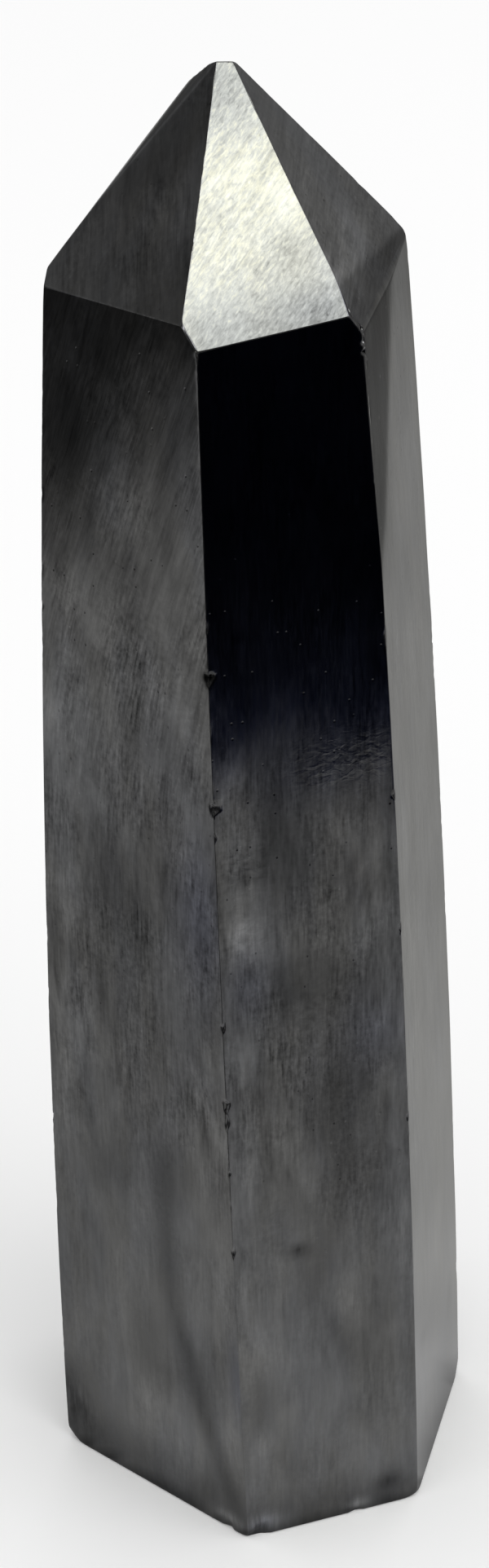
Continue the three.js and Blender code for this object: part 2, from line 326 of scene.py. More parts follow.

# Where the polish is uneven and shows small ripples, tone being how strong they are.
# The ripples are real relief in the bump; their contrast in the colour is painted shading.
RIPPLES = (
    Mark("front", 0.55, 57.2, 6.0, 3.4, 0, 1.0),
    Mark("front", -0.70, 51.0, 2.8, 4.0, 0, 1.5),
    Mark("front", -0.70, 46.4, 3.0, 4.4, 0, 1.7),
    Mark("front", 0.00, 39.5, 3.6, 5.0, 0, 0.8),
    Mark("front", 0.80, 35.0, 2.4, 4.0, 0, 0.5),
    Mark("front", -0.55, 25.0, 3.0, 7.0, 0, 0.5),
    Mark("front_left", 0.75, 61.5, 3.0, 9.0, -10, 0.8),
    Mark("front_left", 0.20, 66.0, 6.0, 7.0, 0, 0.4),
    Mark("back_right", 0.40, 55.0, 4.0, 8.0, 0, 0.7),
    Mark("back", -0.40, 60.0, 5.0, 9.0, 0, 0.7),
    Mark("back_left", 0.10, 52.0, 4.0, 8.0, 0, 0.7),
)

# The lean of the lapping lines on each side and each facet of the point, from upright.
SIDE_LINES = (1.5, -1.0, 2.0, -2.0, 1.0, 0.0)
TIP_LINES = (44.0, 70.0, -20.0, 25.0, -30.0, -28.0)

# How strongly the coarse brushing shows on each facet of the point.
TIP_BRUSHING = (1.0, 0.0, 0.5, 0.7, 0.5, 0.0)

# The lapping lines of the front left side bend over from this far below the shoulder, by this
# much, over this distance. The other two keep the patterns of faces apart.
LINE_BEND = 0.36
BEND_START = 26.0
BEND_LENGTH = 5.0
FACE_SHIFT = 40.0
TIP_SHIFT = 280.0
UP_SHIFT = 150.0

# What the stone mirrors of the table: the middle and the spread of each part, as bearings.
FRONT_PART = (-70, 50)
LEFT_PART = (172, 46)
FAR_LEFT_PART = (172, 60)
RIGHT_PART = (38, 30)
NEAR_RIGHT_PART = (5, 50)
# The next part is a painted shadow that darkens the mirrored table.
SHADOW_WEDGE_PART = (-128, 24)
TABLE_LIGHT = 0.31
TABLE_LIGHT_NEAR = 0.24
TABLE_NEAR = 48.0
TABLE_MOTTLE = 0.09
BLACK_START = (107, 119)
BLACK_TONE = (0.0024, 0.0030, 0.0066)
BLACK_RIM = (115, 17)

# Patches of light in the mirrored room: bearing, height, half width, half height, softness.
WALLS = 0.15
LOW_PALE = (30, 15, 40, 30, 5)
HIGH_PALE = (30, 25, 40, 20.5, 1.5)
LEFT_PALE = (161, 31, 34, 20, 12)
PANEL = (-66, 50, 26, 17, 4)
PANEL_SURROUND = (-66, 50, 40, 25, 5)
LEFT_RIM = (-112, 52, 14, 14, 5)
RIGHT_RIM = (-25, 34, 12, 10, 5)
PANEL_TINT = (0.985, 1.0, 0.89)

# The mirrored sheets reach this far, and the floor lies a little below the base.
ROOM_RADIUS = 3000
FLOOR_LEVEL = -0.02
TABLE_LEVEL = -0.03

# The key light, in metres.
KEY_SIZE = (0.5, 0.35)
KEY_PLACE = (0.25, -0.35, 0.55)

# The photograph's view, round the middle of the base.
VIEW_BEARING = -15.69
VIEW_HEIGHT = 32.34
VIEW_DISTANCE = 249.65
VIEW_ROLL = -2.02
VIEW_TARGET = (-0.07, 49.75)
PHOTO_SIZE = (600, 1924)
FOCAL_PIXELS = 5000.0
SENSOR = 36.0


def bearing_axis(bearing):
    """Cosine and sine of a bearing in degrees: the level direction that it names."""
    angle = np.radians(np.asarray(bearing, float))
    return np.cos(angle), np.sin(angle)


def smooth_step(value, low, high):
    """Nought below low, one above high, and 3 t^2 - 2 t^3 between them."""
    t = np.clip((value - low) / (high - low), 0, 1)
    return t * t * (3 - 2 * t)


def field(name, rows=SIDES):
    """One named size of every row, as an array."""
    return np.array([getattr(row, name) for row in rows], float)


def side_reach(index, level):
    """Distance of a side from the axis: a straight lean from base to shoulder plus a parabola."""
    t = level / SHOULDER_LEVEL
    base, shoulder, bow = (field(name)[index] for name in ("base", "shoulder", "bow"))
    return base + (shoulder - base) * t + 4 * bow * t * (1 - t)


def side_lean(index, level):
    """Change of side_reach with level: its derivative."""
    t = level / SHOULDER_LEVEL
    base, shoulder, bow = (field(name)[index] for name in ("base", "shoulder", "bow"))
    return (shoulder - base + 4 * bow * (1 - 2 * t)) / SHOULDER_LEVEL


def tip_reach(index, level):
    """Distance of a facet of the point from the axis: it closes in by 1 / tan(slope) per rise."""
    rise = level - SHOULDER_LEVEL
    share = rise / (TOP_LEVEL - SHOULDER_LEVEL)
    belly = 4 * field("bulge", TIPS)[index] * share * (1 - share)
    return field("reach", TIPS)[index] - rise / np.tan(np.radians(field("slope", TIPS)[index])) + belly


def meet(bearing_a, reach_a, bearing_b, reach_b):
    """Where two upright planes meet, by Cramer's rule on their two distances from the axis."""
    (ca, sa), (cb, sb) = bearing_axis(bearing_a), bearing_axis(bearing_b)
    turn = ca * sb - sa * cb
    return np.stack([(reach_a * sb - reach_b * sa) / turn, (reach_b * ca - reach_a * cb) / turn], -1)


def side_corner(index, level):
    """Where a side meets the next one at a level."""
    after = (index + 1) % len(SIDES)
    bearing = field("bearing")
    return meet(bearing[index], side_reach(index, level), bearing[after], side_reach(after, level))


def tip_corner(index, level):
    """Where a facet of the point meets the next one at a level."""
    after = (index + 1) % len(SIDES)
    bearing = field("bearing", TIPS)
    return meet(bearing[index], tip_reach(index, level), bearing[after], tip_reach(after, level))


def overhang(point, bearing, reach):
    """How far a point stands outside the nearer of several upright planes."""
    c, s = bearing_axis(bearing)
    return (point[..., 0] * c + point[..., 1] * s - reach).max(0)


def shoulder_span():
    """For each edge: the level where the long edge ends and the level where the tip edge starts.

    The long edge ends where it first stands outside a facet of the point, and the tip edge
    starts where it last stands outside a side.
    """
    level = np.linspace(*SHOULDER_BAND, 1601)
    low, high = [], []
    for index in range(len(SIDES)):
        pair = np.array([[index], [(index + 1) % len(SIDES)]])
        side_end = side_corner(index, level)[None]
        tip_start = tip_corner(index, level)[None]
        tips = overhang(side_end, field("bearing", TIPS)[pair], tip_reach(pair, level))
        sides = overhang(tip_start, field("bearing")[pair], side_reach(pair, level))
        low.append(level[np.argmax(tips > 0)])
        high.append(level[len(level) - 1 - np.argmax(sides[::-1] > 0)])
    return np.array(low), np.maximum(high, np.array(low) + 0.1)


SPAN = shoulder_span()


def edge_path(index, level):
    """The line of an edge from the base to the top, crossing over straight at the shoulder."""
    low, high = SPAN[0][index], SPAN[1][index]
    share = np.clip((level - low) / (high - low), 0, 1)[..., None]
    return side_corner(index, level) * (1 - share) + tip_corner(index, level) * share


def crowded(first, ratio, widest):
    """Places from 0 to 1 that crowd at both ends: steps grow by a ratio up to the widest."""
    steps = [first]
    while sum(steps) < 0.5:
        steps.append(min(steps[-1] * ratio, widest))
    half = np.cumsum([0.0] + steps)
    half = half / half[-1] * 0.5
    return np.concatenate([half, 1 - half[-2::-1]])


def row_levels(count):
    """Shares of the shaft's height, closer together at its ends and at each nick.

    The crowding is a sum of bell curves, and the rows lie at equal steps of its integral.
    """
    level = np.linspace(0, SHOULDER_LEVEL, 8501)
    crowd = np.full_like(level, 1.0)
    for nick in EDGE_NICKS:
        crowd += 2.6 * np.exp(-(((level - nick.level) / (0.5 * nick.long + 0.15)) ** 2))
    crowd += 12 * np.exp(-(((level - SHOULDER_LEVEL) / 0.25) ** 2))
    crowd += 3 * np.exp(-(((level - SHOULDER_LEVEL) / 1.5) ** 2))
    crowd += 8 * np.exp(-((level / 0.35) ** 2)) + 1.5 * np.exp(-((level / 1.5) ** 2))
    total = np.concatenate([[0.0], np.cumsum((crowd[1:] + crowd[:-1]) / 2)])
    return np.interp(np.linspace(0, total[-1], count), total, level) / SHOULDER_LEVEL


def soft_min(distances, ease):
    """The least of several distances, eased: where two are equal it lies this ease below them.

    It is minus the logarithm of a sum of falling exponentials, which is smooth everywhere.
    """
    sharp = np.log(2) / ease
    least = distances.min(0)
    return least - np.log(np.exp(-(distances - least) * sharp).sum(0)) / sharp


def waves(points, seed, count, shortest, longest):
    """A smooth random height from -1 to 1 or so: a sum of cosines in random directions."""
    rng = np.random.default_rng(seed)
    direction = rng.normal(size=(count, 3))
    direction /= np.linalg.norm(direction, axis=1)[:, None]
    length = shortest * (longest / shortest) ** rng.random(count)
    phase = rng.random(count) * 2 * np.pi
    total = sum(
        np.cos(points @ (direction[i] * 2 * np.pi / length[i]) + phase[i]) for i in range(count)
    )
    return total / np.sqrt(count / 2)


def exit_distance(normal, offset, centre, ray):
    """How far a ray from a centre runs before it leaves a plane; never, if it runs away from it."""
    facing = (normal * ray).sum(-1)
    gap = offset - (normal * centre).sum(-1)
    return np.where(facing > 1e-6, gap / np.maximum(facing, 1e-6), 1e3)


def flat_distance(flat, centre, ray):
    """Exit distance of a leaning plane."""
    c, s = bearing_axis(flat.bearing)
    slope = np.radians(flat.slope)
    normal = np.array([c * np.sin(slope), s * np.sin(slope), np.cos(slope)])
    offset = flat.reach * np.sin(slope) + flat.level * np.cos(slope)
    return exit_distance(normal, offset, centre, ray)


def base_corner_distance(index, centre, ray):
    """Exit distance of the plane that cuts a base corner: it faces along the mean of its three faces."""
    normal = np.array([0.0, 0.0, -1.0])
    for i in (index, (index + 1) % len(SIDES)):
        c, s = bearing_axis(SIDES[i].bearing)
        face = np.array([c, s, -side_lean(i, 0.0)])
        normal = normal + face / np.linalg.norm(face)
    normal /= np.linalg.norm(normal)
    corner = np.append(side_corner(index, np.array(0.0)), 0.0)
    return exit_distance(normal, normal @ corner - BASE_CORNERS[index], centre, ray)


def corner_wear(points, eases):
    """How much more the edges are eased at points: a bell curve round each shoulder corner."""
    wear = np.zeros(points.shape[:-1])
    for index in range(len(SIDES)):
        level = np.array(SPAN[0][index] + SPAN[1][index]) / 2
        corner = np.append(edge_path(index, level), level)
        bell = np.exp(-((points - corner) ** 2).sum(-1) / SHOULDER_WEAR_SPREAD**2)
        wear = np.maximum(wear, SHOULDER_WEAR[index] * bell)
    return 1 + eases.corner_wear * wear


def stone_surface(skeleton, eases):
    """Moves the points of the sharp stone in to the eased one.

    Each point is looked at from inside, level with it or from the ends of the shaft's core, and
    is put at the soft least of the distances at which that ray leaves the stone's planes.
    """
    level = skeleton[..., 2]
    centre = np.zeros_like(skeleton)
    centre[..., 2] = np.clip(level, CORE[0], CORE[1])
    ray = skeleton - centre
    ray /= np.linalg.norm(ray, axis=-1)[..., None]
    sides, tips = [], []
    for index in range(len(SIDES)):
        c, s = bearing_axis(SIDES[index].bearing)
        at = np.minimum(level, SHOULDER_LEVEL + 1)
        lean = side_lean(index, at)
        normal = np.stack([np.full_like(at, c), np.full_like(at, s), -lean], -1)
        sides.append(exit_distance(normal, side_reach(index, at) - lean * at, centre, ray))
        c, s = bearing_axis(TIPS[index].bearing)
        fall = 1 / np.tan(np.radians(TIPS[index].slope))
        normal = np.array([c, s, fall])
        above = np.maximum(level, SHOULDER_LEVEL)
        offset = tip_reach(index, above) + fall * above
        tips.append(exit_distance(normal, offset, centre, ray))
    worn = corner_wear(skeleton, eases)
    body = soft_min(np.array(sides), eases.long_edge / MM * worn)
    point = soft_min(np.array(tips), eases.tip_edge / MM * worn)
    stone = soft_min(np.array([body, point]), eases.shoulder / MM * worn)
    flats = np.array([flat_distance(flat, centre, ray) for flat in (SHOULDER_FLAT, LONG_FLAT)])
    far = soft_min(np.array([stone, soft_min(flats, eases.flats / MM)]), eases.flat_edge / MM)
    for flat in TOP_FLATS:
        far = soft_min(np.array([far, flat_distance(flat, centre, ray)]), eases.top / MM)
    for index in range(len(SIDES)):
        corner = base_corner_distance(index, centre, ray)
        far = soft_min(np.array([far, corner]), eases.base_edge / MM)
    base = exit_distance(np.array([0.0, 0.0, -1.0]), 0.0, centre, ray)
    far = soft_min(np.array([far, base]), eases.base_edge / MM)
    return centre + ray * far[..., None], ray


def side_index(name):
    """The place of a side in the list of sides."""
    return [side.name for side in SIDES].index(name)


def scoop(points, centre, out, half_across, half_up, deep, lobes):
    """Presses a bowl into the surface: inside an uneven oval, no point stays above the bowl.

    The oval's edge swings in and out with a cosine of the angle round it, and the bowl's depth
    falls from deep in the middle to nothing at the edge as a power of one minus the square of
    the share of the way out.
    """
    across = np.array([-out[1], out[0], 0.0])
    offset = points - centre
    x, y, depth = offset @ across / half_across, offset[..., 2] / half_up, offset @ out
    share = (x * x + y * y) * (1 + 0.28 * np.cos(3 * np.arctan2(y, x) + lobes)) ** 2
    near = (share < 1) & (np.abs(depth) < 4 * deep + half_across)
    bowl = -deep * np.maximum(1 - share, 0) ** 0.6
    push = np.where(near, np.maximum(depth - bowl, 0), 0)
    return points - push[..., None] * out


def nicked(points):
    """The surface with its nicks and chips pressed in."""
    for count, nick in enumerate(EDGE_NICKS):
        corner = side_corner(side_index(nick.after), np.array(nick.level))
        out = np.array([corner[0], corner[1], 0.0]) / np.hypot(*corner)
        centre = np.array([corner[0], corner[1], nick.level]) - out * nick.inside
        points = scoop(points, centre, out, nick.deep * 1.5, nick.long / 2, nick.deep, 1.7 * count)
    for count, chip in enumerate(BASE_CHIPS):
        index = side_index(chip.side)
        ends = np.array([side_corner(index - 1, np.array(0.0)), side_corner(index, np.array(0.0))])
        middle = ends[0] + (ends[1] - ends[0]) * (chip.place + 1) / 2
        c, s = bearing_axis(SIDES[index].bearing)
        centre, out = np.array([*middle, 0.0]), np.array([c, s, 0.0])
        points = scoop(points, centre, out, chip.wide / 2, chip.high, chip.deep, 2.3 * count)
    return points


def tower_grid(eases, rows):
    """The stone's points: rows run from the base's middle up to the top, columns go round.

    Columns are shares of the way from each edge to the next, crowded at the edges, so that a
    column follows each edge. Rows follow the shoulder, whose level is found for each column.
    """
    share = crowded(*COLUMN_STEPS)[:-1]
    side = np.repeat(np.arange(len(SIDES)), len(share))
    share = np.tile(share, len(SIDES))
    before = (side - 1) % len(SIDES)

    def sharp(level):
        """The point of the sharp stone in each column at a level."""
        start, end = edge_path(before, level), edge_path(side, level)
        flat = start + (end - start) * share[:, None]
        return np.concatenate([flat, level[..., None]], -1)

    trial = np.linspace(*SHOULDER_BAND, 801)[:, None] + 0 * share
    level_point = sharp(trial)
    bearing = np.degrees(np.arctan2(level_point[..., 1], level_point[..., 0]))
    index = np.arange(len(SIDES))[:, None, None]
    worn = corner_wear(level_point, eases) / MM

    def reach_along(bearings, reach, ease):
        """How far out a level ray runs to the nearest of six planes, eased into each other."""
        turn = np.cos(np.radians(bearing - bearings[:, None, None]))
        return soft_min(np.where(turn > 0.05, reach / np.maximum(turn, 0.05), 1e3), ease)

    tip_out = reach_along(field("bearing", TIPS), tip_reach(index, trial), eases.tip_edge * worn)
    side_out = reach_along(field("bearing"), side_reach(index, trial), eases.long_edge * worn)
    shoulder = trial[np.argmax(tip_out < side_out, 0), 0]
    shoulder = (np.roll(shoulder, 1) + 2 * shoulder + np.roll(shoulder, -1)) / 4

    shaft = sharp(row_levels(rows)[:, None] * shoulder)
    rise = crowded(*TIP_STEPS)[1:]
    cone = sharp(shoulder + rise[:, None] * (TOP_LEVEL - shoulder))
    disc = 1 - np.cumsum(np.geomspace(0.006, 0.16, 13))[:, None, None]
    disc = disc[disc[:, 0, 0] > 0.02]
    base = shaft[0] * disc[::-1]
    top_middle = cone[-1].mean(0)
    cap_share = np.linspace(1, 0, 7)[1:-1, None, None]
    cap = top_middle + (cone[-1] - top_middle) * cap_share
    skeleton = np.concatenate([base, shaft, cone, cap])
    surface, ray = stone_surface(skeleton, eases)
    section = np.repeat([0, 1, 2, 3], [len(base), len(shaft), len(cone), len(cap)])
    return surface, ray, section, side, share


def weathered(surface, ray, section, share, eases):
    """The eased stone as hands leave it: faintly wavy faces, nibbled edges, nicks and chips.

    The faces swell by a sum of long cosines. Along the edges the stone is worn in where a second,
    shorter sum is high, by less and less away from the edge as a bell curve.
    """
    swell = eases.swell / MM * waves(surface, 3, 18, 5.0, 16.0)
    edge = np.minimum(share, 1 - share) * SIDE_WIDTH
    worn = np.clip(waves(surface, 11, 14, 0.5, 2.2) - 0.35, 0, 1.6)
    worn = worn * np.clip(0.5 + 0.6 * waves(surface, 19, 8, 9.0, 22.0), 0, 1)
    nibble = eases.nibble / MM * worn * np.exp(-((edge / 0.14) ** 2))
    live = np.isin(section, [1, 2])[:, None]
    lifted = np.clip(surface[..., 2] / 1.5, 0, 1) * np.clip((TOP_LEVEL - surface[..., 2]) / 1.0, 0, 1)
    moved = surface + ray * (np.where(live, swell - nibble, 0) * lifted)[..., None]
    return nicked(moved)


def facet_coordinates(points, face_side, on_tip, lines):
    """Coordinates in millimetres on each face: across it, and up it, turned along its lapping.

    A side's lines are upright but for its lean; on the front left side they bend over near the
    top. Each face is shifted far from the others, so that no two share a pattern.
    """
    bearing = np.where(on_tip, field("bearing", TIPS)[face_side], field("bearing")[face_side])
    c, s = bearing_axis(bearing)
    across = -points[..., 0] * s[:, None] + points[..., 1] * c[:, None]
    slope = np.radians(np.where(on_tip, field("slope", TIPS)[face_side], 90.0))[:, None]
    up = (points[..., 2] - SHOULDER_LEVEL) / np.sin(slope)
    if lines:
        bend = LINE_BEND * np.logaddexp(0, (up + BEND_START) / BEND_LENGTH) * BEND_LENGTH
        leaning = (face_side == side_index("front_left")) & ~on_tip
        across = across - np.where(leaning[:, None], bend, 0)
        lean = np.where(on_tip, np.array(TIP_LINES)[face_side], np.array(SIDE_LINES)[face_side])
        turn = np.radians(lean)
        cosine, sine = np.cos(turn)[:, None], np.sin(turn)[:, None]
        across, up = across * cosine - up * sine, across * sine + up * cosine
    shift = FACE_SHIFT * face_side + TIP_SHIFT * on_tip
    return np.stack([across + shift[:, None], up + UP_SHIFT], -1)


def mark_bells(points, face_side, place, on_tip, marks, quality):
    """One quality of marks at each point: a sum of bells, each turned to its mark's lean.

    Place runs from -1 to 1 across a side or a facet, so half the width there makes it millimetres.
    """
    level = points[..., 2]
    up_tip = (level - SHOULDER_LEVEL) / (TOP_LEVEL - SHOULDER_LEVEL)
    tip_half = TIP_HALF_WIDTHS[0] + (TIP_HALF_WIDTHS[1] - TIP_HALF_WIDTHS[0]) * up_tip
    up_side = level / SHOULDER_LEVEL
    side_half = SIDE_HALF_WIDTHS[0] + (SIDE_HALF_WIDTHS[1] - SIDE_HALF_WIDTHS[0]) * up_side
    half = np.where(on_tip, tip_half, side_half)
    total = np.zeros(level.shape)
    for mark in marks:
        here = (face_side == side_index(mark.side)) & (on_tip == (mark.level > SHOULDER_LEVEL - 0.5))
        x, y = (place - mark.place) * half, level - mark.level
        c, s = np.cos(np.radians(mark.lean)), np.sin(np.radians(mark.lean))
        across, along = (x * c - y * s) * 2 / mark.wide, (x * s + y * c) * 2 / mark.high
        total += np.where(here, getattr(mark, quality) * np.exp(-(across**2 + along**2)), 0)
    return total


def fine_texture(points, on_tip, face_side):
    """How strongly the fine texture shows: fully half way up, little near the base, less at the top.

    The front right side is the smoothest, and the facets of the point lie between.
    """
    level = points[..., 2]
    rising = smooth_step(level + 4 * waves(points, 29, 10, 9.0, 20.0), 14, 42)
    smoothed = 1 - 0.12 * smooth_step(level, 66, 80)
    on_side = np.where(face_side == side_index("front_right"), 0.5, smoothed) * (0.27 + 0.73 * rising)
    return np.where(on_tip, 0.75 - 0.33 * np.array(TIP_BRUSHING)[face_side], on_side)


def tip_brushing(points, on_tip, face_side):
    """How strongly the coarse lapping shows on the facets of the point: less at their foot."""
    fading = 0.85 + 0.15 * smooth_step(points[..., 2], 85.2, 88.2)
    return np.where(on_tip, np.array(TIP_BRUSHING)[face_side] * fading, 0.0)


def ring_quads(rows, columns):
    """The quads of rows that close round on themselves: their corners, rows and columns.

    Point row * columns + column is joined to its neighbours, anticlockwise as seen from outside
    where the rows run upwards.
    """
    row, column = np.meshgrid(np.arange(rows - 1), np.arange(columns), indexing="ij")
    row, column = row.ravel(), column.ravel()
    here = row * columns + column
    after = row * columns + (column + 1) % columns
    return np.stack([here, after, after + columns, here + columns], -1), row, column


def closed_grid_mesh(name, points, low_pole, high_pole):
    """A mesh of rows that close round on themselves, with a point at either end.

    The first and last rows are joined to the poles by triangles. Faces point outwards. Returns
    the mesh, its vertices in millimetres, the vertex of each loop, and the number of corners,
    the row and the column of each face.
    """
    rows, columns = points.shape[:2]
    quads, row, column = ring_quads(rows, columns)
    ring = np.arange(columns)
    ring_after = (ring + 1) % columns
    low, high = rows * columns, rows * columns + 1
    last = (rows - 1) * columns
    low_fan = np.stack([np.full(columns, low), ring_after, ring], -1)
    high_fan = np.stack([np.full(columns, high), last + ring, last + ring_after], -1)
    vertices = np.concatenate([points.reshape(-1, 3), [low_pole], [high_pole]]) * MM
    loops = np.concatenate([quads.ravel(), low_fan.ravel(), high_fan.ravel()])
    sizes = np.concatenate([np.full(len(quads), 4), np.full(2 * columns, 3)])
    starts = np.concatenate([[0], np.cumsum(sizes)[:-1]])
    mesh = bpy.data.meshes.new(name)
    mesh.vertices.add(len(vertices))
    mesh.vertices.foreach_set("co", vertices.astype(np.float32).ravel())
    mesh.loops.add(len(loops))
    mesh.loops.foreach_set("vertex_index", loops.astype(np.int32))
    mesh.polygons.add(len(sizes))
    mesh.polygons.foreach_set("loop_start", starts.astype(np.int32))
    mesh.polygons.foreach_set("loop_total", sizes.astype(np.int32))
    mesh.update(calc_edges=True)
    mesh.polygons.foreach_set("use_smooth", np.ones(len(sizes), bool))
    face_row = np.concatenate([row, np.zeros(columns, int), np.full(columns, rows - 1)])
    face_column = np.concatenate([column, ring, ring])
    return mesh, vertices / MM, loops, sizes, face_row, face_column


class Value:
    """A socket of a node tree that can stand in a sum, a product or a power."""

    def __init__(self, graph, socket):
        self.graph = graph
        self.socket = socket

    def maths(self, operation, a, b):
        """One Math node on two values."""
        return self.graph.node("ShaderNodeMath", {"operation": operation}, {0: a, 1: b})

    def __add__(self, other):
        return self.maths("ADD", self, other)

    def __radd__(self, other):
        return self.maths("ADD", other, self)

    def __sub__(self, other):
        return self.maths("SUBTRACT", self, other)

    def __rsub__(self, other):
        return self.maths("SUBTRACT", other, self)

    def __mul__(self, other):
        return self.maths("MULTIPLY", self, other)

    def __rmul__(self, other):
        return self.maths("MULTIPLY", other, self)


class Graph:
    """The node tree of a new material, filled through one method."""

    def __init__(self, name):
        self.material = bpy.data.materials.new(name)
        self.material.use_nodes = True
        self.tree = self.material.node_tree
        self.tree.nodes.clear()

    def node(self, kind, settings=None, inputs=None, output=0):
        """Adds a node, sets its settings, then gives its sockets values or links."""
        made = self.tree.nodes.new(kind)
        for key, value in (settings or {}).items():
            setattr(made, key, value)
        for key, value in (inputs or {}).items():
            if isinstance(value, Value):
                self.tree.links.new(value.socket, made.inputs[key])
            else:
                made.inputs[key].default_value = value
        return Value(self, made.outputs[output]) if made.outputs else made

    def sized(self, vector, across, up):
        """A vector in millimetres, measured in units that are this wide and this high."""
        scale = (1 / across, 1 / up, 1.0)
        return self.node("ShaderNodeVectorMath", {"operation": "MULTIPLY"}, {0: vector, 1: scale})

    def noise(self, vector, detail=2.0, roughness=0.5, distortion=0.0):
        """Noise of unit size at a vector, mostly between 0.3 and 0.7."""
        settings = {"noise_dimensions": "3D"}
        values = {
            "Vector": vector,
            "Scale": 1.0,
            "Detail": detail,
            "Roughness": roughness,
            "Distortion": distortion,
        }
        return self.node("ShaderNodeTexNoise", settings, values)

    def ramp(self, value, low, high, low_out=0.0, high_out=1.0):
        """A smooth step from one value to another."""
        values = {"Value": value, "From Min": low, "From Max": high, "To Min": low_out, "To Max": high_out}
        return self.node("ShaderNodeMapRange", {"interpolation_type": "SMOOTHSTEP"}, values)

    def unit(self, value):
        """A value held between nought and one."""
        return self.node("ShaderNodeClamp", {}, {"Value": value})

    def specks(self, vector, small, large, rarity):
        """Round specks, one in some of the cells of a vector, soft from a small radius to a large."""
        settings = {"voronoi_dimensions": "2D", "feature": "F1"}
        values = {"Vector": vector, "Scale": 1.0, "Randomness": 1.0}
        near = self.node("ShaderNodeTexVoronoi", settings, values, output="Distance")
        pick = self.node("ShaderNodeTexVoronoi", settings, values, output="Color")
        return self.ramp(near, large, small) * self.ramp(pick, rarity, rarity + 0.1)

    def blend(self, factor, a, b):
        """A mix of two colours."""
        settings = {"data_type": "RGBA", "blend_type": "MIX"}
        return self.node("ShaderNodeMix", settings, {"Factor": factor, 6: a, 7: b}, output=2)

    def tinted(self, colour, strength):
        """A colour made darker or lighter by a value."""
        return self.node("ShaderNodeVectorMath", {"operation": "SCALE"}, {0: colour, "Scale": strength})


def hematite_finish(finish):
    """Polished hematite: a dark steel grey metal look, clouded, streaked and finely pitted.

    Attributes of the mesh steer it: tone and blue hold the broad marks, among them painted shade and
    a painted highlight, fine how strongly the fine texture shows, brushed how strongly the coarse
    lapping of the point shows, and uneven where the polish is rippled. The warmer grey of the lit
    lapping strokes is a painted highlight, and the ripples' contrast in the colour is painted shading.
    Streaks follow the coordinates called lines, and clouds, grain and pits those called face.
    """
    g = Graph("polished hematite")
    face = g.node("ShaderNodeUVMap", {"uv_map": "face"})
    lines = g.node("ShaderNodeUVMap", {"uv_map": "lines"})
    tone, blue, fine, brushed, uneven = (
        g.node("ShaderNodeAttribute", {"attribute_name": name}, output="Fac")
        for name in ("tone", "blue", "fine", "brushed", "uneven")
    )
    clouds = g.noise(g.sized(face, 2.8, 6.0), 4.0, 0.60, 0.5) - 0.5
    streaks = g.noise(g.sized(lines, 0.75, 7.0), 3.0, 0.70, 0.10) - 0.5
    strokes = g.noise(g.sized(lines, 0.19, 1.5), 1.5, 0.60, 0.3) - 0.5
    grain = g.noise(g.sized(face, 0.30, 0.42), 2.0, 0.65) - 0.5
    brush = g.noise(g.sized(lines, 0.20, 0.66), 3.0, 0.74, 0.4) - 0.5
    scratch = g.ramp(g.noise(g.sized(lines, 0.10, 2.8), 0.0), 0.60, 0.72)
    patchy = g.ramp(g.noise(g.sized(face, 3.6, 6.5), 2.0), 0.36, 0.64, 0.35, 1.35)
    scratched = g.ramp(g.noise(g.sized(face, 5.5, 9.0), 1.0), 0.52, 0.66)
    pits = g.specks(g.sized(face, 0.80, 1.05), 0.03, 0.10, 0.74)
    flecks = g.specks(g.sized(face, 1.10, 1.40), 0.03, 0.08, 0.74)
    tint = g.noise(g.sized(face, 4.0, 14.0), 3.0, 0.6)
    ripples = g.noise(g.sized(face, 0.70, 0.50), 2.0, 0.5, 0.8) - 0.5

    broken = tone * (1.0 + clouds * 2.6 + streaks * 2.0 + strokes * 0.8)
    texture = (strokes * finish.strokes + grain * finish.grain) * patchy * g.unit(1.0 + tone)
    specks = flecks * finish.flecks - pits * finish.pits - scratch * scratched * finish.scratches
    shade = (
        1.0
        + broken
        + clouds * finish.clouds * (0.35 + 0.65 * fine) * (1.0 - 0.4 * brushed)
        + streaks * finish.streaks * (0.25 + 0.75 * fine)
        + (texture + specks) * fine
        + brush * brushed * finish.brush
        # Painted shading of the ripples: their contrast is painted into the colour as well as bumped.
        + ripples * uneven * finish.ripples
    )
    cool = (*finish.cool_tone, 1.0)
    warm = (*finish.warm_tone, 1.0)
    blue_grey = (*finish.blue_tone, 1.0)
    base = g.blend(g.unit(blue), g.blend(g.ramp(tint, 0.36, 0.64), cool, warm), blue_grey)
    # Painted highlight: the lit lapping strokes of the point turn a warmer grey.
    lit = g.ramp(brush + tone * 0.5, -0.12, 0.12) * brushed
    colour = g.tinted(g.blend(g.unit(lit), base, (*finish.painted_highlight_tone, 1.0)), shade)
    roughness = finish.roughness + (clouds * 0.05 + strokes * 0.08) * fine

    relief = (
        ripples * uneven * finish.ripple_depth
        + streaks * fine * finish.streak_depth
        + strokes * fine * finish.stroke_depth
        - pits * fine * finish.pit_depth
    )
    bump = g.node("ShaderNodeBump", {}, {"Strength": 1.0, "Distance": 1.0, "Height": relief})
    values = {"Base Color": colour, "Roughness": roughness, "Metallic": 1.0, "Normal": bump}
    surface = g.node("ShaderNodeBsdfPrincipled", {}, values)
    g.node("ShaderNodeOutputMaterial", {}, {"Surface": surface})
    return g.material


def plain_finish(name, colour, roughness):
    """A matt paint."""
    g = Graph(name)
    values = {"Base Color": (*colour, 1.0), "Roughness": roughness, "Specular IOR Level": 0.0}
    surface = g.node("ShaderNodeBsdfPrincipled", {}, values)
    g.node("ShaderNodeOutputMaterial", {}, {"Surface": surface})
    return g.material


